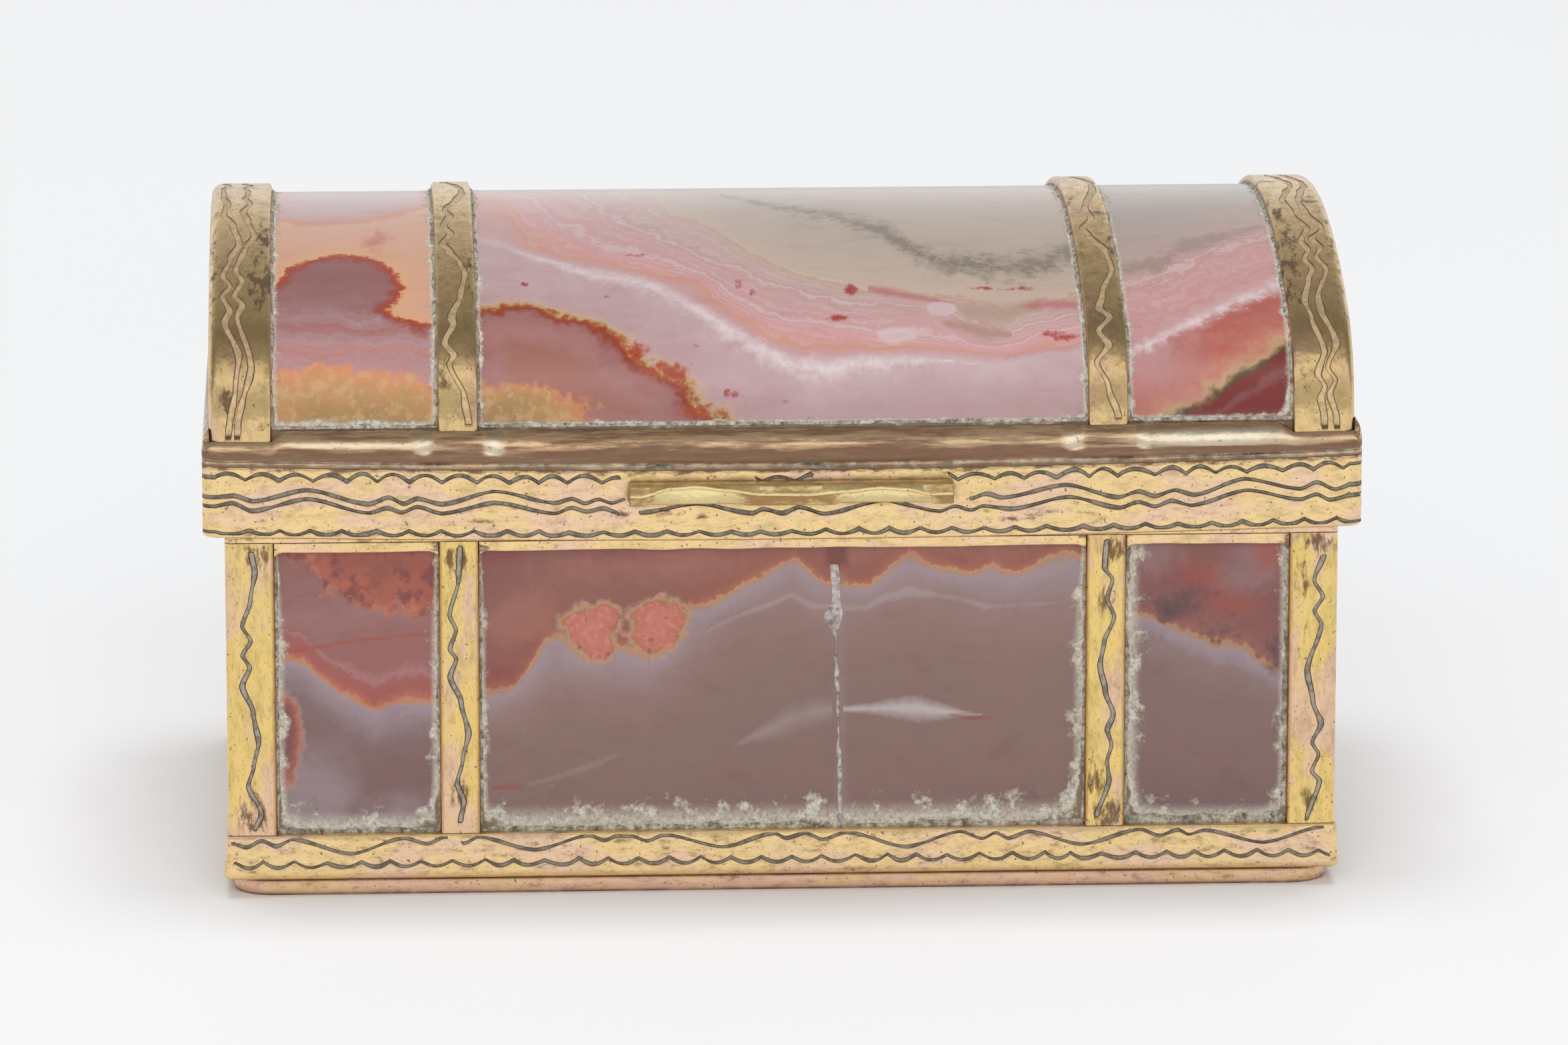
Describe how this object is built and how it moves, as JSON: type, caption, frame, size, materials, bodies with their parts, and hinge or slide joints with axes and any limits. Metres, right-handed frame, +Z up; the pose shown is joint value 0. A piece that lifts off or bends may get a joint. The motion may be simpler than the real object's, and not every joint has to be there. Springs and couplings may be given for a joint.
{
  "type": "agate casket box",
  "caption": "Small domed casket of banded agate panels in an engraved gilt-brass cage, with a hinged vaulted lid and a thumbpiece bar.",
  "frame": {"origin": "middle of the foot's underside, on the surface that the box stands on", "axes": "+X along the box to its right, -Y towards its front with the thumbpiece, +Z up"},
  "size_m": [0.07, 0.0478, 0.0397],
  "materials": {
    "gilt_brass": "worn gilding, engraved with wriggle-work",
    "dark_gilt": "worn gilding with brown tarnish, engraved",
    "hinge_brass": "plain worn brass",
    "wall_agate": "polished banded agate, mauve and red",
    "lid_agate": "polished banded agate, pink and grey"
  },
  "bodies": {
    "body": {"foot_rim": "gilt_brass", "plinth_band": "gilt_brass", "corner_post_front_left": "gilt_brass", "corner_post_front_right": "gilt_brass", "corner_post_back_left": "gilt_brass", "corner_post_back_right": "gilt_brass", "front_strap_left": "gilt_brass", "front_strap_right": "gilt_brass", "back_strap_left": "gilt_brass", "back_strap_right": "gilt_brass", "top_rail": "gilt_brass", "inner_rim": "gilt_brass", "front_panel_left": "wall_agate", "front_panel_centre": "wall_agate", "front_panel_right": "wall_agate", "back_panel_left": "wall_agate", "back_panel_centre": "wall_agate", "back_panel_right": "wall_agate", "end_panel_left": "wall_agate", "end_panel_right": "wall_agate", "base_panel": "wall_agate", "hinge_leaf_body": "hinge_brass", "hinge_pin": "hinge_brass"},
    "lid": {"lid_collar": "gilt_brass", "thumbpiece": "gilt_brass", "lid_bezel": "dark_gilt", "lid_end_band_left": "dark_gilt", "lid_end_band_right": "dark_gilt", "lid_strap_left": "dark_gilt", "lid_strap_right": "dark_gilt", "lid_panel_left": "lid_agate", "lid_panel_centre": "lid_agate", "lid_panel_right": "lid_agate", "lid_end_panel_left": "lid_agate", "lid_end_panel_right": "lid_agate", "hinge_leaf_lid": "hinge_brass"}
  },
  "joints": [
    {"name": "lid_hinge", "type": "hinge", "parent": "body", "child": "lid", "pos_m": [0, 0.02275, 0.0211], "axis": [-1, 0, 0], "range_deg": [0, 100]}
  ]
}
